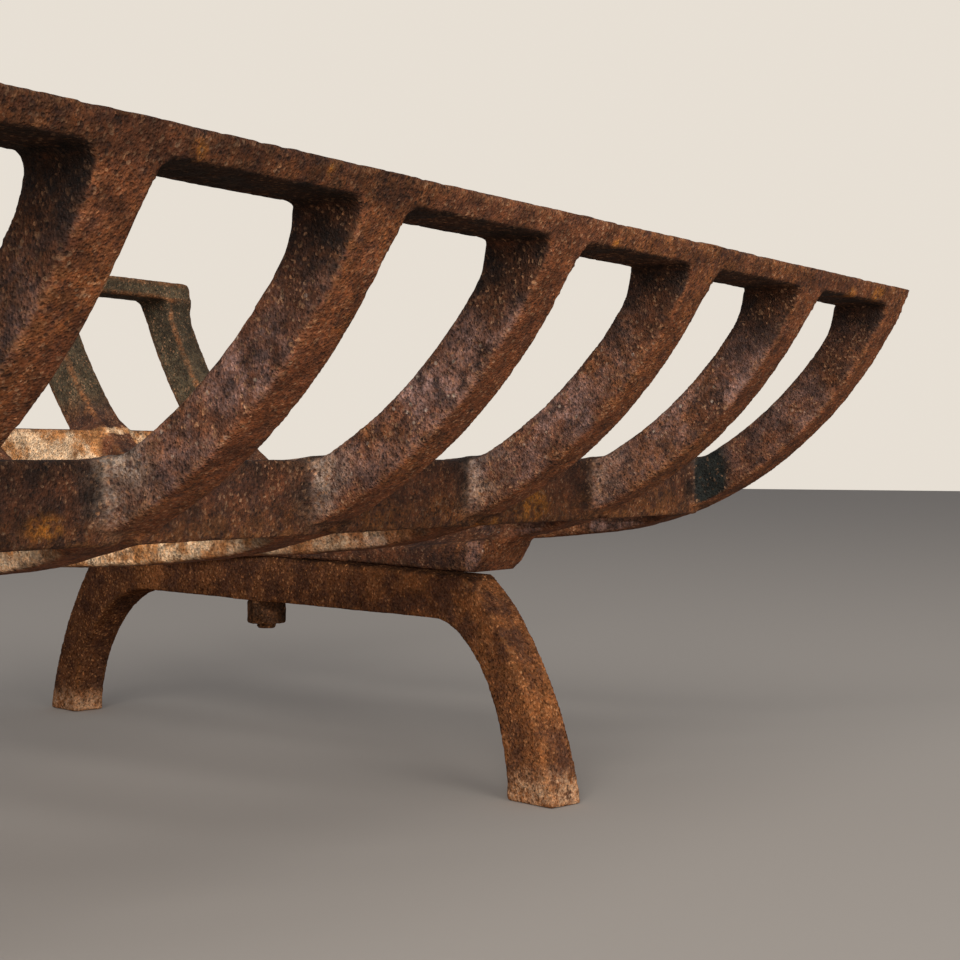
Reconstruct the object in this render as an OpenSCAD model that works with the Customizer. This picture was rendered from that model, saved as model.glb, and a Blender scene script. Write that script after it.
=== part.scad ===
// Cast-iron log grate: an open basket of swept ribs between two rails, standing on two bolted leg castings.
// X runs along the rails, Y from front to back, Z up. The origin is on the floor, under the grate's middle.
// All lengths are in millimetres and all angles in degrees.

/* [Basket] */
// Number of ribs
rib_count = 9; // [7:1:11]
// Distance from one rib to the next
rib_pitch = 76; // [66:1:86]
// Width of a rib along the rails
rib_width = 14; // [12:0.5:18]
// Depth of a rib, measured square to its curve
rib_depth = 15.7; // [14:0.1:18]
// Depth of the basket over its rails
basket_depth = 384; // [376:1:392]
// Height of the ribs' flat underside above the floor
belly_height = 82.5; // [74:0.5:95]

/* [Rib sweep] */
// Radius of the ribs' underside where it leaves the flat at the front
front_low_radius = 635; // [560:5:700]
// Angle at which the front curve becomes tighter
front_low_angle = 7; // [6:0.5:8]
// Radius of the ribs' underside up to the top of the front rail
front_high_radius = 154; // [150:1:160]
// Height of the front rail's top above the ribs' flat underside
front_rise = 96; // [92:1:100]
// Radius of the ribs' underside where it leaves the flat at the back
back_low_radius = 119; // [114:1:124]
// Angle at which the back curve becomes flatter
back_low_angle = 52.5; // [50:0.5:55]
// Radius of the ribs' underside up to the top of the back rail
back_high_radius = 222; // [212:1:232]
// Height of the back rail's top above the ribs' flat underside
back_rise = 118.5; // [114:0.5:124]

/* [Rails] */
// Depth of a rail's top from front to back
rail_depth = 22.5; // [20:0.5:26]
// Thickness of the front rail
front_rail_thickness = 6.5; // [5:0.5:10]
// Thickness of the back rail
back_rail_thickness = 8.5; // [6:0.5:12]
// Radius of the corners between a rail and the ribs
rail_fillet = 4; // [2:0.5:8]
// Radius at the upper corners of the front rail's ends
front_end_radius = 1; // [0.5:0.5:4]
// Radius at the upper corners of the back rail's ends
back_end_radius = 4; // [0.5:0.5:5]

/* [Base bars] */
// Depth of a base bar from front to back
bar_depth = 16; // [12:0.5:20]
// Height of the front base bar
front_bar_height = 21; // [17:0.5:23]
// Distance from the front rail's face back to the front base bar
front_bar_setback = 82; // [78:0.5:88]
// Height of the front base bar's top above the ribs' flat underside
front_bar_rise = 33.5; // [31:0.5:36]
// Distance from the back rail's face forward to the back base bar
back_bar_setback = 40; // [38:0.5:45]
// Height of the back base bar's top above the ribs' flat underside
back_bar_rise = 46.5; // [45:0.5:50]

/* [Legs] */
// Which rib from each end carries a leg
leg_rib = 2; // [2:1:3]
// Distance of the leg bolts in front of the back rail's face
bolt_setback = 144.5; // [140.5:0.5:149.5]
// Distance of a leg's middle in front of its bolt
bolt_offset = 4.5; // [0:0.5:8]
// Thickness of a leg casting
leg_thickness = 15; // [12:0.5:18]
// Spread of a leg over its feet
leg_spread = 326; // [300:2:350]
// Length of the leg's flat top
leg_top_length = 240; // [220:2:260]
// Radius of the leg's outer curve
leg_outer_radius = 143; // [120:1:180]
// Depth of the leg's crossbar
crossbar_depth = 18; // [14:0.5:22]
// Length of a foot's sole
foot_length = 21.5; // [18:0.5:26]
// Length over which the arch between the feet curves down at the front
front_arch_run = 38; // [30:1:60]
// Length over which the arch between the feet curves down at the back
back_arch_run = 58; // [40:1:70]
// Squareness of those curves; 2 is an ellipse
arch_power = 1.9; // [1.8:0.1:3]
// Swing of the right-hand leg out of square, its back foot towards the grate's end
right_leg_swing = 12; // [-12:1:15]
// Swing of the left-hand leg out of square, its back foot towards the grate's middle
left_leg_swing = 0; // [-12:1:12]

/* [Leg pads] */
// Width of a leg pad along the rails
pad_width = 19; // [15:0.5:24]
// Thickness of a leg pad under the ribs' flat underside
pad_thickness = 5; // [3:0.5:8]
// Distance of a pad's front end behind the front rail's face
pad_front_setback = 120; // [112:0.5:130]
// Distance of a pad's back end in front of the back rail's face
pad_back_setback = 86.5; // [84:0.5:110]
// Radius of a pad's lower corners
pad_corner_radius = 8; // [2:0.5:9]
// Play between a pad and the leg that turns under it
pad_play = 0.05; // [0.03:0.01:0.2]

/* [Fastenings] */
// Diameter of the leg bolts
bolt_diameter = 8; // [6:0.5:9]
// Play of a bolt in the rib, the pad and the leg, on the radius
bolt_play = 0.5; // [0.3:0.1:0.8]
// Play of a nut on its bolt, on the radius
nut_play = 0.05; // [0.02:0.01:0.1]
// Diameter of a bolt's round head
bolt_head_diameter = 13; // [11:0.5:14]
// Height of a bolt's round head
bolt_head_height = 4; // [3:0.5:5]
// Width of a nut across its flats
nut_width = 14; // [12:0.5:15]
// Height of a nut
nut_height = 9.5; // [4:0.5:11]
// Length of bolt standing out below a nut
bolt_tail = 2; // [1:0.5:6]

/* [Hidden] */
$fn = 64;
basket_iron = [0.33, 0.23, 0.17];
leg_iron = [0.42, 0.27, 0.17];
bolt_iron = [0.30, 0.18, 0.12];

// Turn of one flat piece of a curve, in degrees
curve_step = 3;
// Number of flat pieces in each half of a leg's arch
arch_steps = 20;
// Overrun that keeps cutting tools clear of the faces they cut
cut = 1;

// The grate's depth, which the origin halves: the leg's back foot may reach behind the back rail
leg_back_setback = bolt_setback + bolt_offset - leg_spread / 2;
grate_depth = basket_depth - min(0, leg_back_setback);
front_face_y = -grate_depth / 2;
back_face_y = front_face_y + basket_depth;
bolt_y = back_face_y - bolt_setback;

first_rib_x = -(rib_count - 1) / 2 * rib_pitch;
rail_length = (rib_count - 1) * rib_pitch + rib_width;
gap_width = rib_pitch - rib_width;
leg_x = -first_rib_x - (leg_rib - 1) * rib_pitch;

front_top_z = belly_height + front_rise;
back_top_z = belly_height + back_rise;
front_rail_z = front_top_z - front_rail_thickness;
back_rail_z = back_top_z - back_rail_thickness;
rib_top_z = belly_height + rib_depth;
pad_z = belly_height - pad_thickness;
leg_top_z = pad_z - pad_play;
crossbar_z = leg_top_z - crossbar_depth;
nut_z = crossbar_z - nut_height;
bolt_hole_radius = bolt_diameter / 2 + bolt_play;

// Centres of the four curves of the ribs' underside, as [y, z]; the high ones end at the rails' outer top edges
front_radius_step = front_high_radius - front_low_radius;
front_low_centre_z = belly_height + front_low_radius;
front_high_centre_z = front_low_centre_z + front_radius_step * cos(front_low_angle);
front_top_angle = acos((front_high_centre_z - front_top_z) / front_high_radius);
front_high_centre = [front_face_y + front_high_radius * sin(front_top_angle), front_high_centre_z];
front_low_centre = [front_high_centre[0] - front_radius_step * sin(front_low_angle), front_low_centre_z];
back_radius_step = back_high_radius - back_low_radius;
back_low_centre_z = belly_height + back_low_radius;
back_high_centre_z = back_low_centre_z + back_radius_step * cos(back_low_angle);
back_top_angle = acos((back_high_centre_z - back_top_z) / back_high_radius);
back_high_centre = [back_face_y - back_high_radius * sin(back_top_angle), back_high_centre_z];
back_low_centre = [back_high_centre[0] + back_radius_step * sin(back_low_angle), back_low_centre_z];

// Number of flat pieces for a curve that turns by an angle
function pieces(turn) = max(2, ceil(abs(turn) / curve_step));

// Points on a curve about a centre; the angle is 0 at the curve's lowest point
function arc(centre, radius, from, to) =
    [for (i = [0:pieces(to - from)])
        let (a = from + (to - from) * i / pieces(to - from))
        [centre[0] + radius * sin(a), centre[1] - radius * cos(a)]];

// Angle at which a curve about a centre reaches a height
function angle_at(centre, radius, z) = acos((centre[1] - z) / radius);

// The ribs' sweep between two heights, some way inside its underside
function sweep(inset, front_z, back_z) = concat(
    arc(front_high_centre, front_high_radius - inset,
        -angle_at(front_high_centre, front_high_radius - inset, front_z), -front_low_angle),
    arc(front_low_centre, front_low_radius - inset, -front_low_angle, 0),
    arc(back_low_centre, back_low_radius - inset, 0, back_low_angle),
    arc(back_high_centre, back_high_radius - inset, back_low_angle,
        angle_at(back_high_centre, back_high_radius - inset, back_z))
);

function reversed(list) = [for (i = [len(list) - 1:-1:0]) list[i]];

function mirrored(list) = [for (p = list) [-p[0], p[1]]];

// X of a rib's middle, counted from 1 at the left-hand end
function rib_x(number) = first_rib_x + (number - 1) * rib_pitch;

// X of the middle of the gap to the right of a rib
function gap_x(number) = rib_x(number) + rib_pitch / 2;

function carries_leg(number) = number == leg_rib || number == rib_count + 1 - leg_rib;

// Extrudes a [y, z] outline along X, centred on x = 0
module along_x(length) {
    rotate([90, 0, 90])
        linear_extrude(height = length, center = true)
            children();
}

// Extrudes an [x, z] outline along Y, from y_start
module along_y(y_start, length) {
    translate([0, y_start + length, 0])
        rotate([90, 0, 0])
            linear_extrude(height = length)
                children();
}

// A square corner's filling with a hollow round face, turned about the corner
module corner_filling(radius, turn) {
    rotate(turn)
        difference() {
            square(radius);
            translate([radius, radius])
                circle(radius);
        }
}

// A rib, from the underside of one rail to the underside of the other
module rib_outline() {
    polygon(concat(
        sweep(0, front_rail_z, back_rail_z),
        reversed(sweep(rib_depth, front_rail_z, back_rail_z))
    ));
}

// Everything above the sweep of the ribs' underside, up to the back rail's top
module above_underside() {
    edge = sweep(0, front_top_z, back_top_z);
    polygon(concat(edge, [[edge[0][0], back_top_z]]));
}

module rail_outline(z_start, thickness, end_radius) {
    top_z = z_start + thickness;
    difference() {
        translate([-rail_length / 2, z_start])
            square([rail_length, thickness]);
        translate([rail_length / 2, top_z])
            corner_filling(end_radius, 180);
        translate([-rail_length / 2, top_z])
            corner_filling(end_radius, -90);
    }
}

// The rounded corners under a rail, one on each side of every gap
module rail_corners(z_start) {
    for (i = [1:rib_count - 1]) {
        translate([gap_x(i) - gap_width / 2, z_start])
            corner_filling(rail_fillet, -90);
        translate([gap_x(i) + gap_width / 2, z_start])
            corner_filling(rail_fillet, 180);
    }
}

// A flat rail whose outer face goes on along the ribs' sweep, with its corners kept to the ribs
module rail(y_start, z_start, thickness, end_radius) {
    color(basket_iron) {
        intersection() {
            along_y(y_start, rail_depth)
                rail_outline(z_start, thickness, end_radius);
            along_x(rail_length)
                above_underside();
        }
        intersection() {
            along_y(y_start, rail_depth)
                rail_corners(z_start);
            along_x(rail_length)
                rib_outline();
        }
    }
}

// One end of the arch between a leg's feet, from the sole up to the crossbar
function arch_end(run) =
    let (start = leg_spread / 2 - foot_length - run)
    [for (i = [0:arch_steps])
        let (a = 90 * i / arch_steps)
        [start + run * pow(cos(a), 2 / arch_power), crossbar_z * pow(sin(a), 2 / arch_power)]];

// Outline of a leg in its own [along, up] plane
module leg_outline() {
    sole = [leg_spread / 2, 0];
    shoulder = [leg_top_length / 2, leg_top_z];
    chord = shoulder - sole;
    bow = sqrt(pow(leg_outer_radius, 2) - pow(norm(chord) / 2, 2));
    centre = (sole + shoulder) / 2 + [-chord[1], chord[0]] * bow / norm(chord);
    sole_angle = atan2(sole[1] - centre[1], sole[0] - centre[0]);
    shoulder_angle = atan2(shoulder[1] - centre[1], shoulder[0] - centre[0]);
    outer_steps = pieces(shoulder_angle - sole_angle);
    outer = [for (i = [0:outer_steps])
        let (a = sole_angle + (shoulder_angle - sole_angle) * i / outer_steps)
        centre + leg_outer_radius * [cos(a), sin(a)]];
    polygon(concat(
        outer,
        reversed(mirrored(outer)),
        mirrored(arch_end(front_arch_run)),
        reversed(arch_end(back_arch_run))
    ));
}

// A leg casting on its bolt, swung out of square
module leg(x, swing) {
    color(leg_iron)
        translate([x, bolt_y, 0])
            rotate([0, 0, -swing])
                difference() {
                    translate([0, -bolt_offset, 0])
                        along_x(leg_thickness)
                            leg_outline();
                    translate([0, 0, crossbar_z - cut])
                        cylinder(h = crossbar_depth + 2 * cut, r = bolt_hole_radius);
                }
}

// The boss under a leg's rib: flat below, fitted to the rib above
module leg_pad(x) {
    front_y = front_face_y + pad_front_setback;
    back_y = back_face_y - pad_back_setback;
    color(basket_iron)
        difference() {
            translate([x, 0, 0])
                along_x(pad_width)
                    difference() {
                        translate([front_y, pad_z])
                            square([back_y - front_y, front_rise]);
                        above_underside();
                        translate([front_y, pad_z])
                            corner_filling(pad_corner_radius, 0);
                        translate([back_y, pad_z])
                            corner_filling(pad_corner_radius, 90);
                    }
            translate([x, bolt_y, pad_z - cut])
                cylinder(h = pad_thickness + 2 * cut, r = bolt_hole_radius);
        }
}

// The bolt that holds a leg: domed head on the rib, tail below the nut
module bolt(x) {
    head_radius = bolt_head_diameter / 2;
    dome_radius = (pow(head_radius, 2) + pow(bolt_head_height, 2)) / (2 * bolt_head_height);
    shank = rib_top_z - nut_z + bolt_tail;
    color(bolt_iron)
        translate([x, bolt_y, rib_top_z]) {
            intersection() {
                translate([0, 0, bolt_head_height - dome_radius])
                    sphere(dome_radius);
                cylinder(h = bolt_head_height, r = head_radius);
            }
            translate([0, 0, -shank])
                cylinder(h = shank, d = bolt_diameter);
        }
}

// The nut under a leg's crossbar
module nut(x) {
    color(bolt_iron)
        translate([x, bolt_y, nut_z])
            difference() {
                cylinder(h = nut_height, d = nut_width / cos(30), $fn = 6);
                translate([0, 0, -cut])
                    cylinder(h = nut_height + 2 * cut, r = bolt_diameter / 2 + nut_play);
            }
}

module rib(number) {
    color(basket_iron)
        difference() {
            translate([rib_x(number), 0, 0])
                along_x(rib_width)
                    rib_outline();
            if (carries_leg(number))
                translate([rib_x(number), bolt_y, belly_height - cut])
                    cylinder(h = rib_depth + 2 * cut, r = bolt_hole_radius);
        }
}

module front_rail() {
    rail(front_face_y, front_rail_z, front_rail_thickness, front_end_radius);
}

module back_rail() {
    rail(back_face_y - rail_depth, back_rail_z, back_rail_thickness, back_end_radius);
}

module front_base_bar(number) {
    color(basket_iron)
        translate([gap_x(number), 0, 0])
            along_x(gap_width)
                translate([front_face_y + front_bar_setback, belly_height + front_bar_rise - front_bar_height])
                    square([bar_depth, front_bar_height]);
}

// Flush with the ribs' underside, which climbs steeply here
module back_base_bar(number) {
    color(basket_iron)
        translate([gap_x(number), 0, 0])
            along_x(gap_width)
                intersection() {
                    translate([back_face_y - back_bar_setback - bar_depth, belly_height])
                        square([bar_depth, back_bar_rise]);
                    above_underside();
                }
}

front_rail();
back_rail();
for (i = [1:rib_count])
    rib(i);
for (i = [1:rib_count - 1])
    front_base_bar(i);
for (i = [1:rib_count - 1])
    back_base_bar(i);
leg_pad(-leg_x);  // leg_pad_left
leg_pad(leg_x);  // leg_pad_right
bolt(-leg_x);  // bolt_left
bolt(leg_x);  // bolt_right
nut(-leg_x);  // nut_left
nut(leg_x);  // nut_right
leg(-leg_x, left_leg_swing);  // leg_left
leg(leg_x, right_leg_swing);  // leg_right
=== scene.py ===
"""Looks of the cast-iron log grate: a rusted basket casting on two bolted leg castings.

The castings are carved as distance fields from the outlines of the CAD nodes, so that their bars run into
each other with the soft corners of cast iron. The surfaces are then roughened, and cut back into one piece
for each CAD node. Lengths are in millimetres until a mesh is made, and angles in degrees.
"""
import functools
import itertools
import math

import bpy
import numpy as np
from mathutils import Matrix, Vector
from mathutils.geometry import convex_hull_2d


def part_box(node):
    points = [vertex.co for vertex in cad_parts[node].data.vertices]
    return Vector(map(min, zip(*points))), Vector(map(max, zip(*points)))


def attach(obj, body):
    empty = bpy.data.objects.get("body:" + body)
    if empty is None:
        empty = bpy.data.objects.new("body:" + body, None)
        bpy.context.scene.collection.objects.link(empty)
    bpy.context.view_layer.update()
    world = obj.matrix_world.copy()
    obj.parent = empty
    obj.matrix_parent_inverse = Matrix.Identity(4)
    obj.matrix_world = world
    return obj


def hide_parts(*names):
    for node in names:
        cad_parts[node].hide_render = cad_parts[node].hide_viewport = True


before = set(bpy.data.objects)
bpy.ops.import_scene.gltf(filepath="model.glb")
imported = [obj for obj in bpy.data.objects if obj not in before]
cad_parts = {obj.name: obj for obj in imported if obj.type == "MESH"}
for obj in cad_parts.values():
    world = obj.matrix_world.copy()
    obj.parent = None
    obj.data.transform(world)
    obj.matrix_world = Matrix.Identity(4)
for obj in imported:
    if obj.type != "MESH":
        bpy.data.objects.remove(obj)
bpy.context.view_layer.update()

MM = 0.001
# Points nearer than this are taken as one
SAME = 0.01

# Steps of the distance fields
CASTING_STEP = 1.1
FASTENING_STEP = 0.3
OUTLINE_STEP = 0.6
# Room around a casting and a fastening in their fields, and around an outline in its own
CASTING_MARGIN = 4.0
FASTENING_MARGIN = 3 * FASTENING_STEP
OUTLINE_MARGIN = 10.0

# The castings' corners: worn edges, and fillets where bars meet
RIB_EDGE = 2.0
RAIL_EDGE = 0.9
BAR_EDGE = 1.3
PAD_EDGE = 0.8
LEG_EDGE = 1.0
NUT_EDGE = 0.5
RAIL_FILLET = 5.2
BAR_FILLET = 6.5
PAD_FILLET = 10.0
# How far a base bar's ends run on into the ribs
BAR_OVERLAP = 2.0
# Ribs swell by this much, which makes up for what their round edges take from their outlines; outside, the
# swell fades out over the last stretch below a rail
RIB_SWELL = 0.4
SWELL_FADE = 3.0
# How much deeper a rib grows just under a rail, from how far below it, and how far above it that ends
RIB_FLARE = 2.6
FLARE_RUN = 15.0
FLARE_END = 2.5
# Fall of a pad's underside, and of the leg's top below it, towards the front, for each millimetre beyond a
# level round the bolt, in which the two stay flat against each other as the leg turns
SEAT_FALL = 0.0195
SEAT_LEVEL = 15.0
# Seats are laid flat where the casting faces them this squarely, and is this near to them
SEAT_FACING = 0.9
SEAT_REACH = 1.5
# A pad grows wider on its inner side by this much, between these two distances towards the front
PAD_FLARE = 9.5
PAD_FLARE_RUN = (10.0, 62.0)
# How far ribs run up into the rails, and how far a fillet may stand out from a pad's outline
RIB_RUN_IN = 3.0
PAD_ROOM = 6.0
# Height of the CAD's corner fillings under a rail, and radius of the back rail's upper end corners
CAD_RAIL_CORNER = 4.0
BACK_END_RADIUS = 4.0
# How far the seats of pads and legs are set back from the CAD's, and how far legs stay off their nuts
SEAT_SETBACK = 0.02

# A casting's face sinks by this much on the whole, which makes room for its bumps
RUST_LOSS = 0.05
# Size of each of a rusted face's waves, and how deep they go
WAVES = ((34, 0.12), (9, 0.07), (4.2, 0.08), (2.4, 0.09))
# Rust takes about this much of a nut's and of a bolt's face
NUT_RUST = 0.16
BOLT_RUST = 0.1
# How far around a point its surroundings are felt, to tell edges, thin lines and the edges of fastenings
EDGE_REACH = 3.5
LINE_REACH = 1.6
FASTENING_REACH = 1.2
# How far an edge stands out, from where its wear begins to show to where it shows fully
EDGE_WEAR = (0.08, 0.3)
FINE_EDGE_WEAR = (0.05, 0.3)


# -------- noise

GRADIENTS = np.array([(x, y, z) for x, y, z in itertools.product((-1, 0, 1), repeat=3)
                      if abs(x) + abs(y) + abs(z) == 2], np.float32)
# Large primes that scatter the lattice's numbers
CELL_PRIMES = (73856093, 19349663, 83492791)
SEED_PRIME = 2654435761
STIR_PRIME = 1274126177


def lattice_hash(cell, seed):
    """A whole number from 0 to 11 for each lattice point."""
    h = seed * SEED_PRIME
    for axis, prime in enumerate(CELL_PRIMES):
        h = h ^ cell[:, axis] * prime
    h = (h ^ (h >> 13)) & 0xFFFFFFFF
    h = (h * STIR_PRIME) & 0xFFFFFFFF
    return ((h ^ (h >> 16)) & 0xFFFFFF) % len(GRADIENTS)


def perlin(points, size, seed):
    """Smooth noise of about -1 to 1 at each point, with bumps of the given size."""
    scaled = points / size
    cell = np.floor(scaled).astype(np.int64)
    f = (scaled - cell).astype(np.float32)
    fade_in = f * f * f * (f * (f * 6 - 15) + 10)
    value = np.zeros(len(points), np.float32)
    for corner in itertools.product((0, 1), repeat=3):
        offset = np.array(corner)
        gradient = GRADIENTS[lattice_hash(cell + offset, seed)]
        weight = np.prod(np.where(offset == 1, fade_in, 1 - fade_in), axis=1)
        value += weight * np.einsum("ij,ij->i", gradient, f - offset.astype(np.float32))
    return value


def smooth_step(value, low, high):
    """0 up to low, rising smoothly to 1 at high."""
    t = np.clip((value - low) / (high - low), 0, 1)
    return t * t * (3 - 2 * t)


def fade(value, low, high):
    """1 up to low, falling smoothly to 0 at high."""
    return 1 - smooth_step(value, low, high)


# -------- outlines from the CAD nodes

def node_points(node):
    """A CAD node's corners in millimetres."""
    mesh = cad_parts[node].data
    points = np.empty(len(mesh.vertices) * 3, np.float64)
    mesh.vertices.foreach_get("co", points)
    return points.reshape(-1, 3) / MM


def end_outline(node):
    """The outline of a node's flat end at its lowest X, as (Y, Z) line segments in no order."""
    points = node_points(node)
    at_end = points[:, 0] < points[:, 0].min() + SAME
    edges = {}
    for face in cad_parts[node].data.polygons:
        if all(at_end[v] for v in face.vertices):
            ring = [tuple(np.round(points[v, 1:], 3)) for v in face.vertices]
            for a, b in zip(ring, ring[1:] + ring[:1]):
                key = (min(a, b), max(a, b))
                edges[key] = edges.get(key, 0) + 1
    return np.array([edge for edge, uses in edges.items() if uses == 1])


def four_corners(points):
    """The corners of a four-sided section, anticlockwise from its lower front one."""
    toward = np.array(((-1, -1), (1, -1), (1, 1), (-1, 1)))
    return points[(points @ toward.T).argmax(axis=0)]


def inset(ring, depth):
    """An anticlockwise ring with each side moved inwards, as line segments."""
    sides = np.roll(ring, -1, axis=0) - ring
    inward = np.stack([-sides[:, 1], sides[:, 0]], axis=1) / np.linalg.norm(sides, axis=1)[:, None]
    starts = ring + inward * depth
    corners = []
    for i in range(len(ring)):
        matrix = np.stack([sides[i - 1], -sides[i]], axis=1)
        t = np.linalg.solve(matrix, starts[i] - starts[i - 1])
        corners.append(starts[i - 1] + t[0] * sides[i - 1])
    return np.array([(a, b) for a, b in zip(corners, corners[1:] + corners[:1])])


class Outline:
    """Signed distance to a closed outline in the (Y, Z) plane, negative inside it, and grown by a radius."""

    def __init__(self, segments, grown=0.0):
        ends = segments.reshape(-1, 2)
        self.low = ends.min(axis=0) - OUTLINE_MARGIN
        size = ends.max(axis=0) + OUTLINE_MARGIN - self.low
        shape = np.ceil(size / OUTLINE_STEP).astype(int) + 2
        y = self.low[0] + OUTLINE_STEP * np.arange(shape[0])[:, None]
        z = self.low[1] + OUTLINE_STEP * np.arange(shape[1])[None, :]
        nearest = np.full(shape, np.inf)
        crossed = np.zeros(shape, bool)
        for (ay, az), (by, bz) in segments:
            dy, dz = by - ay, bz - az
            t = np.clip(((y - ay) * dy + (z - az) * dz) / (dy * dy + dz * dz), 0, 1)
            nearest = np.minimum(nearest, (y - ay - t * dy) ** 2 + (z - az - t * dz) ** 2)
            if az != bz:
                spans = (az > z) != (bz > z)
                crossed ^= spans & (y < ay + (z - az) * dy / dz)
        self.field = np.where(crossed, -1, 1) * np.sqrt(nearest) - grown

    def __call__(self, y, z):
        """The distance at points; outside the sampled field it is carried on in a straight line."""
        spot = np.stack([(y - self.low[0]) / OUTLINE_STEP, (z - self.low[1]) / OUTLINE_STEP])
        top = np.array(self.field.shape).reshape(-1, *([1] * (spot.ndim - 1))) - 1.001
        held = np.clip(spot, 0, top)
        beyond = np.sqrt(((spot - held) ** 2).sum(axis=0)) * OUTLINE_STEP
        i, j = np.floor(held).astype(int)
        u, v = held - np.floor(held)
        f = self.field
        near = (f[i, j] * (1 - v) + f[i, j + 1] * v) * (1 - u)
        far = (f[i + 1, j] * (1 - v) + f[i + 1, j + 1] * v) * u
        return (near + far + beyond).astype(np.float32)


# -------- distance fields

def extruded(across, along, radius):
    """Distance to an outline's extrusion with rounded edges, from its two distances."""
    a = across + radius
    b = along + radius
    outside = np.sqrt(np.maximum(a, 0) ** 2 + np.maximum(b, 0) ** 2)
    return outside + np.minimum(np.maximum(a, b), 0) - radius


def blended(a, b, fillet):
    """Union of two distances, with a fillet in the corner between them."""
    overlap = np.maximum(fillet - np.abs(a - b), 0) / fillet
    return np.minimum(a, b) - overlap * overlap * fillet / 4


def sampled(field, low, step, points):
    """Trilinear sample of a field at points."""
    spot = (points - low) / step
    spot = np.clip(spot, 0, np.array(field.shape) - 1.001)
    cell = np.floor(spot).astype(int)
    f = (spot - cell).astype(np.float32)
    value = np.zeros(len(points), np.float32)
    for corner in itertools.product((0, 1), repeat=3):
        weight = np.prod(np.where(np.array(corner) == 1, f, 1 - f), axis=1)
        value += weight * field[cell[:, 0] + corner[0], cell[:, 1] + corner[1], cell[:, 2] + corner[2]]
    return value


# How far to either side a field's slope is felt, in steps
SLOPE_REACH = 0.7


def slope(field, low, step, points):
    """Unit vector that leads away from the solid, at points."""
    out = np.empty((len(points), 3), np.float32)
    for axis in range(3):
        shift = np.zeros(3)
        shift[axis] = step * SLOPE_REACH
        out[:, axis] = sampled(field, low, step, points + shift) - sampled(field, low, step, points - shift)
    return out / np.maximum(np.linalg.norm(out, axis=1, keepdims=True), 1e-6)


def surface(field, low, step):
    """Corners and quads of a field's zero surface, one corner in each cell that the surface passes."""
    inside = field < 0
    shape = np.array(field.shape)
    filled = np.zeros(shape - 1, np.int8)
    corners = list(itertools.product((0, 1), repeat=3))
    for i, j, k in corners:
        filled += inside[i:shape[0] - 1 + i, j:shape[1] - 1 + j, k:shape[2] - 1 + k]
    cells = np.argwhere((filled > 0) & (filled < 8))
    index = np.full(filled.shape, -1, np.int32)
    index[tuple(cells.T)] = np.arange(len(cells))

    total = np.zeros((len(cells), 3))
    hits = np.zeros(len(cells))
    for a, b in itertools.combinations(corners, 2):
        if sum(abs(p - q) for p, q in zip(a, b)) != 1:
            continue
        start = field[tuple((cells + a).T)]
        end = field[tuple((cells + b).T)]
        crosses = (start < 0) != (end < 0)
        t = start[crosses] / (start[crosses] - end[crosses])
        total[crosses] += np.array(a) + t[:, None] * (np.array(b) - a)
        hits += crosses
    points = low + step * (cells + total / hits[:, None])

    quads = []
    for axis in range(3):
        u = np.eye(3, dtype=int)[(axis + 1) % 3]
        v = np.eye(3, dtype=int)[(axis + 2) % 3]
        lower = np.take(inside, range(shape[axis] - 1), axis)
        upper = np.take(inside, range(1, shape[axis]), axis)
        edges = np.argwhere(lower != upper)
        leaving = lower[tuple(edges.T)]
        ring = np.stack([index[tuple((edges - s).T)] for s in (u + v, v, 0 * u, u)], axis=1)
        ring[~leaving] = ring[~leaving][:, ::-1]
        quads.append(ring)
    quads = np.concatenate(quads)

    for _ in range(2):
        points = points - slope(field, low, step, points) * sampled(field, low, step, points)[:, None]
    return points, quads


def corner_measure(field, low, step, points, radius):
    """How far each point stands out, as on an edge, above 0, or lies in a corner, below 0."""
    total = np.zeros(len(points), np.float32)
    directions = [d for d in itertools.product((-1, 0, 1), repeat=3) if 0 < sum(map(abs, d)) < 3]
    for d in directions:
        unit = np.array(d) / np.linalg.norm(d)
        total += sampled(field, low, step, points + radius * unit)
    return total / len(directions) / radius


def corner_normals(points, quads):
    """Smooth normals of a surface at its corners."""
    across = points[quads[:, 2]] - points[quads[:, 0]]
    along = points[quads[:, 3]] - points[quads[:, 1]]
    face = np.cross(across, along)
    total = np.zeros((len(points), 3))
    for axis in range(3):
        for corner in range(4):
            total[:, axis] += np.bincount(quads[:, corner], face[:, axis], len(points))
    return total / np.maximum(np.linalg.norm(total, axis=1, keepdims=True), 1e-9)


def carved(field, low, step, reach):
    """A field's surface: its points and quads, its normals, and how far its points stand out."""
    points, quads = surface(field, low, step)
    normals = slope(field, low, step, points)
    return points, quads, normals, corner_measure(field, low, step, points, reach)


# -------- rusting a casting

def dents(points, size, least, depth, seed):
    """Depth of the hollows where noise of a size passes its least value."""
    return np.maximum(perlin(points, size, seed) - least, 0) * depth


def rusted(points, normals, standing, seed):
    """Points of a casting after wear: waves from the mould, scabs, pits and chipped edges."""
    depth = RUST_LOSS
    for number, (size, amount) in enumerate(WAVES):
        depth = depth + amount * perlin(points, size, seed + number)
    chips = dents(points, 3.4, 0.1, 0.45, seed + 4)
    pits = dents(points, 3.1, 0.28, 0.6, seed + 6)
    return points - normals * (depth + smooth_step(standing, *EDGE_WEAR) * chips + pits)[:, None]


def painted_corner_shade(standing):
    """Shade painted into a casting's corners, which darkens them."""
    return 0.35 * smooth_step(-standing, 0.03, 0.3)


# -------- pieces

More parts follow.
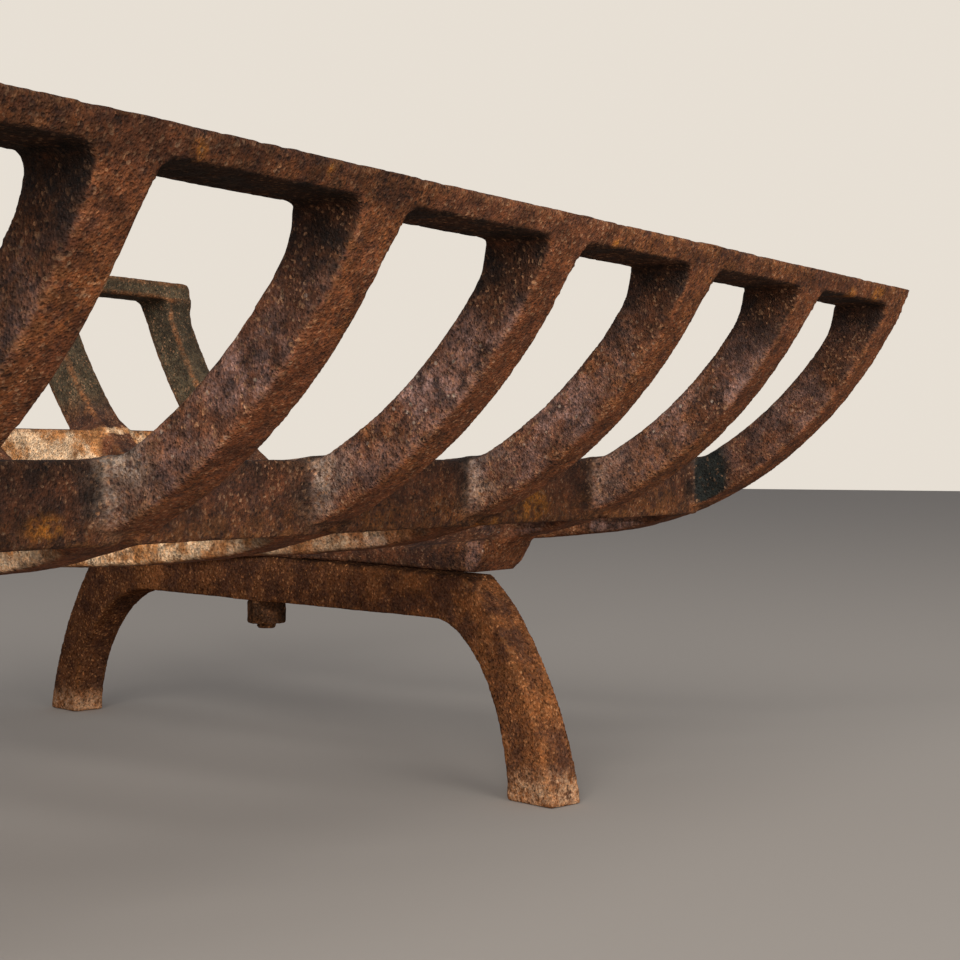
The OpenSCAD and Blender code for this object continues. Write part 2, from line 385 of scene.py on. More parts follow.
def add_piece(prefix, node, body, slot, material, points, faces, normals, marks):
    """A mesh that stands for a CAD node and rides on its body; its normals smooth it across its borders."""
    name = prefix + node
    mesh = bpy.data.meshes.new(name)
    mesh.from_pydata((points * MM).tolist(), [], faces.tolist())
    mesh.polygons.foreach_set("use_smooth", np.ones(len(faces), bool))
    for mark, values in marks.items():
        layer = mesh.attributes.new(mark, "FLOAT", "POINT")
        layer.data.foreach_set("value", values.astype(np.float32))
    mesh.normals_split_custom_set_from_vertices(normals.tolist())
    mesh.update()
    mesh.materials.append(material)
    piece = bpy.data.objects.new(name, mesh)
    bpy.context.scene.collection.objects.link(piece)
    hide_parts(node)
    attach(piece, body)


def part_of(points, quads, normals, marks, chosen):
    """The part of a surface whose quads are chosen, with its own numbering."""
    faces = quads[chosen]
    used, numbered_anew = np.unique(faces, return_inverse=True)
    kept = {mark: values[used] for mark, values in marks.items()}
    return points[used], numbered_anew.reshape(faces.shape), normals[used], kept


# -------- measures of the CAD nodes

def box_mm(node):
    low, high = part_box(node)
    return np.array(low) / MM, np.array(high) / MM


def middle_of(node):
    low, high = box_mm(node)
    return (low + high) / 2


def half_size(node):
    low, high = box_mm(node)
    return (high - low) / 2


def numbered(prefix):
    """The nodes whose names are a prefix and a number, in their order."""
    names = [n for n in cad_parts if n.startswith(prefix)]
    return sorted(names, key=lambda n: int(n.rsplit("_", 1)[1]))


RIBS = numbered("rib_")
FRONT_BARS = numbered("front_base_bar_")
BACK_BARS = numbered("back_base_bar_")
PADS = ["leg_pad_left", "leg_pad_right"]
# The leg that stands square to the ribs, from which both are carved
SQUARE_LEG = "leg_left"


def rail_underside(node):
    low, _ = box_mm(node)
    return low[2] + CAD_RAIL_CORNER


def rail_height(y):
    """Height of the underside of the rail on the same side as y."""
    return np.where(y < 0, rail_underside("front_rail"), rail_underside("back_rail"))


def bolt_of(points):
    """The middle of the bolt on each point's side."""
    return np.where(points[:, :1] < 0, middle_of("bolt_left"), middle_of("bolt_right"))


def bolt_distance(points):
    """Distance from each point to its bolt's axis."""
    return np.hypot(*(points - bolt_of(points))[:, :2].T)


def field_axes(low, high, step, margin):
    """The lowest corner of the field around a box, and the places of its samples along each axis."""
    start = low - margin
    counts = np.ceil((high + margin - start) / step).astype(int) + 1
    return start, [start[i] + step * np.arange(counts[i]) for i in range(3)]


# -------- the basket

def lengthened(segments, extra):
    """A rib's outline with its two level ends moved up into the rails."""
    out = segments.copy()
    middle = (segments[..., 1].max() + segments[..., 1].min()) / 2
    for start, end in segments:
        if abs(start[1] - end[1]) > SAME or start[1] < middle:
            continue
        for tip in (start, end):
            hits = np.all(np.abs(segments - tip) < SAME, axis=2)
            for i, j in np.argwhere(hits):
                along = tip - segments[i, 1 - j]
                if abs(along[1]) > SAME:
                    out[hits] = tip + along * extra / np.linalg.norm(along)
    return out


def hull(points):
    """The convex hull of (Y, Z) points, as line segments."""
    points = np.unique(np.round(points, 3), axis=0)
    ring = points[convex_hull_2d(points.tolist())]
    return np.stack([ring, np.roll(ring, -1, axis=0)], axis=1)


def bar_section(node, bottom, edge):
    """A rail's or base bar's section above a height, with its long edges rounded."""
    points = node_points(node)
    section = points[points[:, 2] > bottom - SAME][:, 1:]
    return Outline(inset(four_corners(section), edge), edge)


class Row:
    """A row of like bars: their common outline, their places along X, and how their corners are rounded."""

    def __init__(self, names, outline, edge, fillet=0, overlap=0, swell=0):
        self.names = names
        self.outline = outline
        self.edge = edge
        self.fillet = fillet
        self.swell = swell
        self.centres = np.array([middle_of(n)[0] for n in names])
        self.half = half_size(names[0])[0] + overlap

    def distance(self, x, y, across):
        """Distance to the row's bars, from that to their outline, and the number of the nearest bar."""
        gaps = np.abs(np.subtract.outer(x, self.centres))
        along = gaps.min(axis=-1) - self.half
        if self.names is PADS:
            inner = np.abs(x) < np.abs(self.centres[0])
            along = along - inner * PAD_FLARE * smooth_step(-y, *PAD_FLARE_RUN)
        solid = extruded(across - self.swell, np.float32(along - self.swell), self.edge)
        return solid, gaps.argmin(axis=-1)


class Basket:
    """The basket casting as a distance field, and which CAD node each spot of it belongs to."""

    def __init__(self):
        rib_outline = Outline(lengthened(end_outline(RIBS[0]), RIB_RUN_IN))
        self.ribs = Row(RIBS, rib_outline, RIB_EDGE, swell=RIB_SWELL)
        self.rows = [self.ribs]
        for rail in ("front_rail", "back_rail"):
            section = bar_section(rail, rail_underside(rail), RAIL_EDGE)
            self.rows.append(Row([rail], section, RAIL_EDGE, RAIL_FILLET))
        for bars in (FRONT_BARS, BACK_BARS):
            section = bar_section(bars[0], -np.inf, BAR_EDGE)
            self.rows.append(Row(bars, section, BAR_EDGE, BAR_FILLET, BAR_OVERLAP))
        self.rows.append(Row(PADS, Outline(end_outline(PADS[0])), PAD_EDGE, PAD_FILLET))
        outside = np.concatenate([node_points(n)[:, 1:] for n in (RIBS[0], "front_rail", "back_rail")])
        self.outside = Outline(hull(outside))
        lows, highs = zip(*(box_mm(n) for row in self.rows for n in row.names))
        self.low, self.high = np.min(lows, axis=0), np.max(highs, axis=0)

    def field(self, step):
        """The casting's distance field, and the field's lowest corner."""
        low, (places, y, z) = field_axes(self.low, self.high, step, CASTING_MARGIN)
        y, z = np.meshgrid(y, z, indexing="ij")
        across = [row.outline(y, z) for row in self.rows]
        over = z - rail_height(y)
        flare = smooth_step(over, -FLARE_RUN, 0) ** 2 * fade(over, 0, FLARE_END)
        across[0] = across[0] - np.float32(RIB_FLARE * flare)
        # The fillets don't show on the outside, where the ribs run on into the rails and the back bars
        swell = np.float32(RIB_SWELL * fade(over, -SWELL_FADE, 0))
        envelope = np.minimum.reduce([self.outside(y, z) - swell, *across[1:-1], across[-1] - PAD_ROOM])
        envelope = np.maximum(envelope, (self.low[2] - z).astype(np.float32))
        under_top = np.where(y > 0, z - self.high[2] + BACK_END_RADIUS, -np.inf).astype(np.float32)
        out = np.empty((len(places), *y.shape), np.float32)
        for i, x in enumerate(places):
            total, _ = self.ribs.distance(x, y, across[0])
            for row, flat in zip(self.rows[1:], across[1:]):
                total = blended(total, row.distance(x, y, flat)[0], row.fillet)
            end = np.float32(max(self.low[0] - x, x - self.high[0]))
            corner = np.hypot(np.maximum(end + BACK_END_RADIUS, 0), np.maximum(under_top, 0))
            past_end = np.full_like(corner, end)
            out[i] = np.maximum.reduce([total, envelope, corner - BACK_END_RADIUS, past_end])
        return out, low

    def owners(self, points):
        """The CAD node that each point is nearest to, as a number into the names of all nodes."""
        x, y, z = points.T
        found, which = zip(*(row.distance(x, y, row.outline(y, z)) for row in self.rows))
        nearest = np.argmin(found, axis=0)
        starts = np.cumsum([0] + [len(row.names) for row in self.rows[:-1]])
        names = [n for row in self.rows for n in row.names]
        return starts[nearest] + np.choose(nearest, which), names


def blob(points, centre, radii):
    """1 at a centre, falling smoothly to 0 at the radii."""
    far = np.sqrt((((points - centre) / radii) ** 2).sum(axis=1))
    return fade(far, 0.15, 1)


# Strength of the white bloom where each rib's side meets the front base bar, from the left-hand end
BLOOM = (0.5, 0.8, 0.5, 0.8, 1.0, 0.7, 0.75, 0.3, 0.1)
# The same bloom at the back, on the rib of this number, counted from 0
BACK_BLOOM_RIB = 4
# Fresh orange rust: where it lies, and how far it reaches
EMBERS = (
    ((181, -117, 101), (17, 8, 9)), ((160, -113, 96), (10, 8, 5)), ((-27, -117, 100), (9, 8, 5)),
    ((260, -198, 172), (6, 9, 4)), ((283, -198, 174), (7, 9, 4)), ((99, -198, 173), (3, 5, 2)),
    ((-22, -199, 176), (2, 5, 2)), ((-60, -198, 174), (3, 6, 3)), ((219, -40, 80), (5, 5, 5)),
    ((-181, -117, 101), (14, 8, 8)), ((-130, 186, 196), (14, 9, 5)), ((140, 186, 196), (9, 9, 4)),
)
# Middle of the stretch of the rails, and of the stretch of the ribs, that are darkened with painted shade,
# along X
SHADED_RAILS_X = -60
DARK_X = -66
# The darker stretch of the front base bar: where it sets in, and where it ends
DARK_BAR_START = (40, 90)
DARK_BAR_END = (212, 230)
# A face turned towards a direction, from where that begins to count to where it counts fully
FACING = (0.4, 0.8)
FACING_SQUARELY = (0.6, 0.9)


class BasketMarks:
    """Where the basket is sooted, dusted with ash, limed and worn, and where shade, light and a sheen are
    painted on it, each from 0 to 1.
    """

    def __init__(self, basket, points, normals):
        self.points = points
        self.x, self.y, self.z = points.T
        self.rib_x = basket.ribs.centres
        self.rib_left = self.rib_x - basket.ribs.half
        self.belly = basket.low[2]
        (_, self.bar_front, self.bar_foot), (_, self.bar_back, self.bar_top) = box_mm(FRONT_BARS[0])
        (_, self.back_front, _), (_, _, self.back_top) = box_mm(BACK_BARS[0])
        self.at_front = self.y < 0
        self.broad = perlin(points, 24, 71)
        self.rough = self.broad * 0.5 + perlin(points, 8, 72) * 0.35 + 0.5
        self.over = self.z - rail_height(self.y)
        self.side = smooth_step(np.abs(normals[:, 0]), *FACING)
        self.left_face = smooth_step(-normals[:, 0], *FACING)
        self.front_face = smooth_step(-normals[:, 1], *FACING)
        self.top_face = smooth_step(normals[:, 2], *FACING_SQUARELY)
        self.ceiling = smooth_step(-normals[:, 2], *FACING_SQUARELY) * smooth_step(self.over, -3, -1)
        outward = np.sign(self.y) * 0.7 * normals[:, 1] - 0.7 * normals[:, 2]
        self.shell = smooth_step(outward, 0.35, 0.75) * (1 - self.ceiling)
        self.on_bar = ((np.abs(self.y - self.bar_front) < 3) * (self.z < self.bar_top + 3)
                       * fade(np.abs(normals[:, 0]), 0.35, 0.9))
        self.dark_bar = self.on_bar * smooth_step(self.x, *DARK_BAR_START) * fade(self.x, *DARK_BAR_END)
        plain = self.shell * (1 - self.on_bar) * np.where(self.over > -1, 0.55, 1)
        self.outer = np.maximum(plain, 0.45 * self.dark_bar)

    def soot(self):
        """Dark under the rails and where the front base bar meets the ribs, painted shade with some soot,
        and soot along the bar's top edge.
        """
        # Painted shade: faces under the rails that are not turned outwards are darkened as in the rails'
        # shadow, the front more than the back
        hidden = (1 - self.shell) * fade(self.over, 0.4, 1.6)
        soot = smooth_step(self.over + 16 * self.broad, -32, -2) * hidden * 0.9
        soot = np.maximum(soot, 0.9 * self.ceiling) * np.where(self.at_front, 1, 0.6)
        gaps = self.rib_left - self.x[:, None]
        to_rib = np.where(gaps > -1, gaps, np.inf).min(axis=1)
        # Painted shade: the front base bar darkens towards each rib's left side, as in the shade of that
        # corner
        corner = fade(to_rib + 5 * perlin(self.points, 7, 75), 2, 12)
        corner *= smooth_step(self.z, self.bar_foot + 3, self.bar_foot + 9)
        height = self.z + 3 * perlin(self.points, 6, 76)
        crest = smooth_step(height, self.bar_top - 7, self.bar_top - 1)
        return np.maximum(soot, self.on_bar * np.maximum(0.85 * corner, 0.75 * crest))

    def bloom(self):
        """White bloom in the corners between the ribs' left sides and the base bars."""
        bloom = np.zeros(len(self.points))
        for x, strength in zip(self.rib_left, BLOOM):
            corner = (x, self.bar_front + 4, self.bar_top - 3)
            bloom = np.maximum(bloom, strength * blob(self.points, corner, (13, 24, 20)))
        corner = (self.rib_left[BACK_BLOOM_RIB], self.back_front - 6, self.back_top)
        bloom = np.maximum(bloom, 0.6 * blob(self.points, corner, (9, 24, 26)))
        return bloom * smooth_step(self.rough, 0.3, 0.75) * (1 - 0.8 * self.outer)

    def ash(self):
        """Pale dust on the ribs' bottoms, thinner towards both ends, and on the back base bar, painted
        lighter than the dust itself, as the light that falls there.
        """
        x, y, rib_x = self.x, self.y, self.rib_x
        low_down = fade(self.z - self.belly, 15, 24)
        behind = y - self.bar_back + 6 * self.broad
        ash = low_down * self.side * smooth_step(behind, -26, 38) * fade(x, rib_x[-3] + 20, rib_x[-2] - 20)
        ash *= 1 - 0.6 * smooth_step(x, rib_x[-4] + 14, rib_x[-3] - 18)
        ash *= 1 - 0.75 * smooth_step(-x, rib_x[-3] + 20, rib_x[-2] - 20)
        on_back_bar = (np.abs(y - self.back_front) < 4) * (self.z < self.back_top + 1)
        on_top = self.top_face * low_down * smooth_step(self.z - self.belly, 15, 18)
        return np.maximum(ash, np.maximum(self.front_face * on_back_bar, 0.5 * on_top))

    def sheen(self):
        """A purple-grey sheen painted on the sides of the front ribs, a painted reflection of cool light,
        and the same grey on what lies lowest.
        """
        climb = smooth_step(self.z - self.belly, 8, 66) * fade(self.over + 12 * self.broad, -38, -6)
        sheen = self.side * climb * smooth_step(self.rough, -0.1, 0.6) * self.at_front
        sheen *= 1 - 0.6 * smooth_step(self.x, self.rib_x[-2] + 20, self.rib_x[-1] - 12)
        lowest = (self.z < self.belly + 14) * (self.y < self.bar_back + 30)
        return np.maximum(sheen, 0.75 * self.side * lowest)

    def scorch(self):
        """A blue-black patch on the left side of the last rib."""
        centre = (self.rib_left[-1], self.bar_front - 7, self.bar_top - 7)
        return 1.6 * self.left_face * blob(self.points, centre, (9, 12, 26))

    def ember(self):
        """Fresh orange rust in spots, and faintly along the front base bar's foot."""
        ember = np.zeros(len(self.points))
        for centre, reach in EMBERS:
            ember = np.maximum(ember, blob(self.points, centre, reach))
        height = self.z + 4 * perlin(self.points, 9, 77)
        band = self.on_bar * fade(height, self.bar_foot + 4, self.bar_foot + 12)
        return np.maximum(ember, 0.14 * band)

    def smoke(self):
        """Darker stretches: painted shade on the rails and on the ribs that lie in shade, and a darker
        stretch of the front base bar.
        """
        rails = fade(np.abs(self.x - SHADED_RAILS_X - 12 * self.broad), 25, 125) * smooth_step(self.over, -4, 0)
        ribs = fade(np.abs(self.x - DARK_X - 12 * self.broad), 30, 70) * (1 - 0.75 * self.outer)
        return np.maximum(np.maximum(rails, ribs), self.dark_bar)

    def olive(self):
        """An olive tinge, at the back and above the back base bar."""
        rise = self.z - self.back_top + 6 * self.broad
        return smooth_step(self.y + 14 * self.broad, 108, 132) * smooth_step(rise, 4, 18)

    def by_name(self, standing, line):
        """Every mark by its name, with the worn edges, thin rusty lines and the shade painted into hollow
        corners.
        """
        marks = {
            "soot": self.soot(),
            "bloom": self.bloom(),
            "ash": self.ash(),
            "sheen": self.sheen(),
            "scorch": self.scorch(),
            "smoke": self.smoke(),
            "ember": self.ember(),
            "olive": self.olive(),
            "outer": self.outer,
            "wear": smooth_step(standing, *EDGE_WEAR),
            "line": smooth_step(line, 0.05, 0.12) * smooth_step(self.y, 40, 100),
            "hollow": painted_corner_shade(standing),
        }
        return {name: np.clip(mark, 0, 1) for name, mark in marks.items()}


def seat_fall(points, weight):
    """Points lowered towards the front, by their distance from the bolt on their side."""
    ahead = np.maximum(bolt_distance(points) - SEAT_LEVEL, 0) * (points[:, 1] < bolt_of(points)[:, 1])
    return points - np.outer(SEAT_FALL * ahead * weight, (0, 0, 1))


def build_basket(material):
    basket = Basket()
    field, low = basket.field(CASTING_STEP)
    points, quads, normals, standing = carved(field, low, CASTING_STEP, EDGE_REACH)
    line = corner_measure(field, low, CASTING_STEP, points, LINE_REACH)
    marks = BasketMarks(basket, points, normals).by_name(standing, line)
    owner, names = basket.owners(points[quads].mean(axis=1))
    points = rusted(points, normals, standing, 11)
    points = np.clip(points, basket.low, basket.high)
    under_pad = (normals[:, 2] < -SEAT_FACING) & (points[:, 2] < basket.low[2] + SEAT_REACH)
    points[under_pad, 2] = basket.low[2] + SEAT_SETBACK
    pad_low, pad_high = box_mm(PADS[0])
    rib_low, _ = box_mm(RIBS[0])
    in_pad = (points[:, 1] > pad_low[1] - PAD_ROOM) & (points[:, 1] < pad_high[1])
    points = seat_fall(points, in_pad * fade(points[:, 2], basket.low[2], rib_low[2]))
    normals = corner_normals(points, quads)
    for number, name in enumerate(names):
        part = part_of(points, quads, normals, marks, owner == number)
        add_piece("cast_", name, "basket", "basket_iron", material, *part)


# -------- the legs

def leg_turn(node):
    """A leg's angle out of square, from the direction between its two soles, and the middle of its soles."""
    points = node_points(node)
    soles = points[points[:, 2] < 0.5]
    middle = soles.mean(axis=0)
    back = soles[soles[:, 1] > middle[1]].mean(axis=0)
    front = soles[soles[:, 1] < middle[1]].mean(axis=0)
    return math.atan2(-(back[0] - front[0]), back[1] - front[1]), middle


def leg_marks(points, normals, standing):
    """Where a leg is crusted and worn, and where shade is painted on it: its top and back foot, as in the
    basket's shadow, its top face under the pad, and its hollow corners, each from 0 to 1.
    """
    x, y, z = points.T
    top = z.max()
    crust = fade(z + 3 * perlin(points, 6, 81), 2, 15)
    # Painted shadow: the leg's upper middle, under the basket, is darkened as in the basket's shadow
    crown = smooth_step(z, top * 0.62, top * 0.86) * fade(np.abs(y), 50, 86)
    # Painted shadow: the back foot is darkened too
    back_foot = smooth_step(y, 60, 110) * (1 - crust)
    # Painted shade: the leg's top face, under its pad, is darkened as in the pad's shadow
    seat = smooth_step(normals[:, 2], 0.2, 0.7) * smooth_step(z, top - 3, top - 1)
    return {
        "crust": crust,
        "crown": np.maximum(crown, back_foot),
        "soot": np.maximum(seat, 0.25 * back_foot),
        "wear": smooth_step(standing, *FINE_EDGE_WEAR),
        "hollow": painted_corner_shade(standing),
    }


def leg_casting(seed):
    """A leg that stands square over the middle of its soles: its points, quads, marks and top."""
    _, middle = leg_turn(SQUARE_LEG)
    low, high = (corner - middle * (1, 1, 0) for corner in box_mm(SQUARE_LEG))
    start, (x, y, z) = field_axes(low, high, CASTING_STEP, CASTING_MARGIN)
    y, z = np.meshgrid(y, z, indexing="ij")
    across = Outline(end_outline(SQUARE_LEG))(y + middle[1], z)
    along = np.float32(np.abs(x) - half_size(SQUARE_LEG)[0])
    field = extruded(across[None, :, :], along[:, None, None], LEG_EDGE)
    points, quads, normals, standing = carved(field, start, CASTING_STEP, EDGE_REACH)
    marks = leg_marks(points, normals, standing)
    points = rusted(points, normals, standing, seed)
    seam = high[2] - SEAT_SETBACK
    points = np.clip(points, low, (high[0], high[1], seam))
    points[(normals[:, 2] > SEAT_FACING) & (points[:, 2] > high[2] - SEAT_REACH), 2] = seam
    return points, quads, marks, seam


def build_leg(side, seed, material):
    """A leg casting, turned and set under its pad, with its seats level round the bolt."""
    node = "leg_" + side
    angle, middle = leg_turn(node)
    points, quads, marks, seam = leg_casting(seed)
    top_share = smooth_step(points[:, 2], seam * 0.8, seam) * (points[:, 1] < 0)
    points = points @ np.array(Matrix.Rotation(angle, 3, "Z")).T
    points[:, :2] += middle[:2]
    points = seat_fall(points, top_share)
    nut_top = box_mm("nut_" + side)[1][2]
    round_nut = (bolt_distance(points) < SEAT_LEVEL) & (np.abs(points[:, 2] - nut_top) < SEAT_REACH)
    points[round_nut, 2] = nut_top + SEAT_SETBACK
    normals = corner_normals(points, quads)
    add_piece("cast_", node, node + "_casting", "leg_iron", material, points, quads, normals, marks)


# -------- bolts and nuts

def fastening_piece(node, field, low, seed, loss, material):
    points, quads, normals, standing = carved(field, low, FASTENING_STEP, FASTENING_REACH)
    depth = loss * (0.6 + perlin(points, 2.6, seed) + 0.6 * perlin(points, 1.1, seed + 1))
    points = points - normals * np.maximum(depth, 0.01)[:, None]
    marks = {"wear": smooth_step(standing, *FINE_EDGE_WEAR)}
    normals = corner_normals(points, quads)
    add_piece("rusted_", node, "basket", "fastening_iron", material, points, quads, normals, marks)


def grid_around(node):
    """Sample places in and around a fastening's box, and the lowest of them."""
    start, axes = field_axes(*box_mm(node), FASTENING_STEP, FASTENING_MARGIN)
    return np.meshgrid(*axes, indexing="ij"), start


def build_nut(side, seed, material):
    """A hexagon nut with worn corners; two of its flats face front and back."""
    node = "nut_" + side
    _, flats, height = half_size(node)
    grid, start = grid_around(node)
    x, y, z = (places - place for places, place in zip(grid, middle_of(node)))
    hexagon = np.maximum.reduce([np.abs(x * math.cos(a) + y * math.sin(a)) - flats
                                 for a in np.radians((30, 90, 150))])
    round_off = np.hypot(x, y) + 0.6 * (np.abs(z) - height) - flats * 1.06
    solid = extruded(np.maximum(hexagon, round_off * 0.85), np.abs(z) - height, NUT_EDGE)
    fastening_piece(node, solid.astype(np.float32), start, seed, NUT_RUST, material)


THREAD_PITCH = 1.25
THREAD_DEPTH = 0.3
# The bolt's end is worn to a cone over this height, by this much for each millimetre towards its tip
WORN_END = 1.0
WORN_TAPER = 0.8


def build_bolt(side, seed, material):
    """A bolt with a domed head, and a thread where it shows below its nut."""
    node = "bolt_" + side
    low, high = box_mm(node)
    nut_low, _ = box_mm("nut_" + side)
    middle = middle_of(node)
    head_radius = half_size(node)[0]
    points = node_points(node)
    out = np.hypot(*(points - middle)[:, :2].T)
    shank_radius = out[points[:, 2] < low[2] + 1].max()
    seat = points[out > head_radius - 0.05, 2].min()
    head_height = high[2] - seat
    (x, y, z), start = grid_around(node)
    r = np.hypot(x - middle[0], y - middle[1])
    dome = (head_radius ** 2 + head_height ** 2) / (2 * head_height)
    head = np.maximum(np.sqrt(r ** 2 + (z - high[2] + dome) ** 2) - dome, seat - z)
    turns = z / THREAD_PITCH + np.arctan2(y - middle[1], x - middle[0]) / (2 * math.pi)
    thread = THREAD_DEPTH * np.abs(2 * (turns - np.floor(turns)) - 1) * (z < nut_low[2] + 1)
    shank = np.maximum(r - shank_radius + thread, np.maximum(low[2] - z, z - seat - 0.5))
    worn_end = r - shank_radius + WORN_TAPER * (low[2] + WORN_END - z)
    solid = np.minimum(head, np.maximum(shank, worn_end))
    fastening_piece(node, solid.astype(np.float32), start, seed, BOLT_RUST, material)


# -------- rust materials

# Sockets of a Mix node that mixes colours
MIX_A, MIX_B, MIX_RESULT = 6, 7, 2

# Each noise's largest spots in millimetres, its detail, its roughness, and a shift that sets it apart
NOISES = {
    "patch": (46, 4, 0.6, 3.1),
    "blotch": (13, 5, 0.62, 7.7),
    "stain": (7.0, 4, 0.7, 12.3),
    "mottle": (5.5, 3, 0.6, 5.3),
    "fleck": (3.4, 4, 0.7, 1.3),
    "grain": (1.0, 2, 0.7, 9.2),
}
# Scattered spots: the room that each has in millimetres, and a shift that sets them apart
SPOTS = {
    "dots": (3.6, (6.6, -6.6, 6.6)),
    "clumps": (2.6, (4.4, -4.4, 4.4)),
}
# The smallest grains, in the same measures
KERNELS = (0.75, (2.6, 2.6, -2.6))
# Tints of the reddest and the greyest grains, and the painted shade of a face fully in the shaded stretches
REDDER = (1.08, 0.97, 0.86)
GREYER = (0.93, 1.02, 1.12)
FULLY_SHADED = 0.5
# Height of the rust's relief in millimetres
RELIEF = 0.5
# Layers of rust and of painted shade, light and sheen over the two browns, from the lowest up: the mark that
# a layer follows, if any, its colour, and the patterns that break it up, each with where it begins and ends
# and the layer's share at both
LAYERS = (
    ("outer", "outer", ("fleck", 0.32, 0.58, 0.3, 0.9)),
    # Painted sheen: a purple-grey reflection painted on the ribs' sides, with dark stains and pale flecks in
    # it
    ("sheen", "sheen", ("blotch", 0.6, 0.42, 0.15, 1.0), ("fleck", 0.34, 0.6, 0.3, 1.0)),
    ("sheen", "stain", ("stain", 0.5, 0.6, 0.0, 0.85)),
    ("sheen", "bloom", ("dots", 0.19, 0.11, 0.0, 1.0)),
    (None, "orange", ("patch", 0.46, 0.66, 0.0, 1.0), ("fleck", 0.36, 0.62, 0.0, 0.7)),
    ("olive", "olive", ("fleck", 0.25, 0.5, 0.6, 1.0)),
    # Pale dust, painted lighter to stand in for the light that falls under the basket
    ("ash", "streaked", ("fleck", 0.3, 0.55, 0.6, 1.0)),
    ("bloom", "bloom", ("fleck", 0.38, 0.55, 0.15, 1.0)),
    ("crust", "bloom", ("fleck", 0.4, 0.6, 0.1, 1.0)),
    # Painted shadow on the legs' tops and back feet, broken up by blotches
    ("crown", "dark", ("blotch", 0.3, 0.6, 0.95, 0.5)),
    ("wear", "edge", ("fleck", 0.46, 0.62, 0.0, 0.5)),
    # Soot and painted shade, broken up by blotches
    ("soot", "soot", ("blotch", 0.25, 0.6, 1.0, 0.7)),
    ("line", "orange", ("fleck", 0.34, 0.56, 0.05, 0.6)),
    ("scorch", "scorch"),
    ("ember", "ember", ("fleck", 0.42, 0.56, 0.2, 1.0)),
    # Painted shade in the hollow corners
    ("hollow", "soot"),
)


class Nodes:
    """Short names for the few shader nodes that the rust is made of."""

    def __init__(self, name):
        self.material = bpy.data.materials.new(name)
        self.material.use_nodes = True
        self.tree = self.material.node_tree
        self.tree.nodes.clear()
        self.where = self.add("ShaderNodeTexCoord").outputs["Object"]
        self.patterns = {}

    def add(self, kind, **settings):
        node = self.tree.nodes.new(kind)
        for key, value in settings.items():
            setattr(node, key, value)
        return node

    def feed(self, socket, value):
        """Gives a socket another node's output, a number or a colour."""
        if isinstance(value, bpy.types.NodeSocket):
            self.tree.links.new(value, socket)
        elif socket.type == "RGBA":
            socket.default_value = (*value, 1)
        else:
            socket.default_value = value

    def textured(self, kind, size, shift):
        """A texture node whose spots have a size in millimetres, with its pattern shifted."""
        place = self.add("ShaderNodeMapping")
        self.feed(place.inputs["Vector"], self.where)
        self.feed(place.inputs["Location"], shift)
        node = self.add(kind)
        self.feed(node.inputs["Vector"], place.outputs[0])
        self.feed(node.inputs["Scale"], 1 / (size * MM))
        return node

    def noise(self, size, detail, roughness, shift):
        """Noise of 0 to 1."""
        node = self.textured("ShaderNodeTexNoise", size, (shift, shift * 1.7, -shift))
        self.feed(node.inputs["Detail"], detail)
        self.feed(node.inputs["Roughness"], roughness)
        return node.outputs["Fac"]

    def spots(self, size, shift):
        """Scattered spots: the distance to each one's middle, and a colour drawn for it."""
        node = self.textured("ShaderNodeTexVoronoi", size, shift)
        return node.outputs["Distance"], node.outputs["Color"]

    def pattern(self, name):
        """A pattern by its name, made when it is first asked for."""
        if name not in self.patterns:
            made = self.noise(*NOISES[name]) if name in NOISES else self.spots(*SPOTS[name])[0]
            self.patterns[name] = made
        return self.patterns[name]

    def split(self, colour):
        node = self.add("ShaderNodeSeparateColor")
        self.feed(node.inputs[0], colour)
        return node.outputs[:3]

    def shaded(self, colour, shade):
        """A colour times another, or times a number."""
        node = self.add("ShaderNodeVectorMath", operation="MULTIPLY")
        self.feed(node.inputs[0], colour)
        self.feed(node.inputs[1], shade)
        return node.outputs[0]

    def mark(self, name):
        return self.add("ShaderNodeAttribute", attribute_name=name).outputs["Fac"]

    def step(self, value, low, high, start=0.0, end=1.0):
        """A passage from start to end, as a value or a named pattern goes from low to high."""
        if isinstance(value, str):
            value = self.pattern(value)
        node = self.add("ShaderNodeMapRange", interpolation_type="SMOOTHSTEP")
        for socket, given in zip(node.inputs, (value, low, high, start, end)):
            self.feed(socket, given)
        return node.outputs["Result"]

    def math(self, operation, a, b):
        node = self.add("ShaderNodeMath", operation=operation)
        self.feed(node.inputs[0], a)
        self.feed(node.inputs[1], b)
        return node.outputs[0]

    def times(self, a, b):
        return self.math("MULTIPLY", a, b)

    def mix(self, share, a, b):
        node = self.add("ShaderNodeMix", data_type="RGBA")
        self.feed(node.inputs[0], share)
        self.feed(node.inputs[MIX_A], a)
        self.feed(node.inputs[MIX_B], b)
        return node.outputs[MIX_RESULT]

    def finish(self, colour, roughness, height, gloss):
        bump = self.add("ShaderNodeBump")
        self.feed(bump.inputs["Distance"], RELIEF * MM)
        self.feed(bump.inputs["Height"], height)
        shader = self.add("ShaderNodeBsdfPrincipled")
        for name, value in (("Base Color", colour), ("Roughness", roughness),
                            ("Normal", bump.outputs["Normal"]), ("Specular IOR Level", gloss)):
            self.feed(shader.inputs[name], value)
        out = self.add("ShaderNodeOutputMaterial")
        self.feed(out.inputs["Surface"], shader.outputs[0])
        return self.material


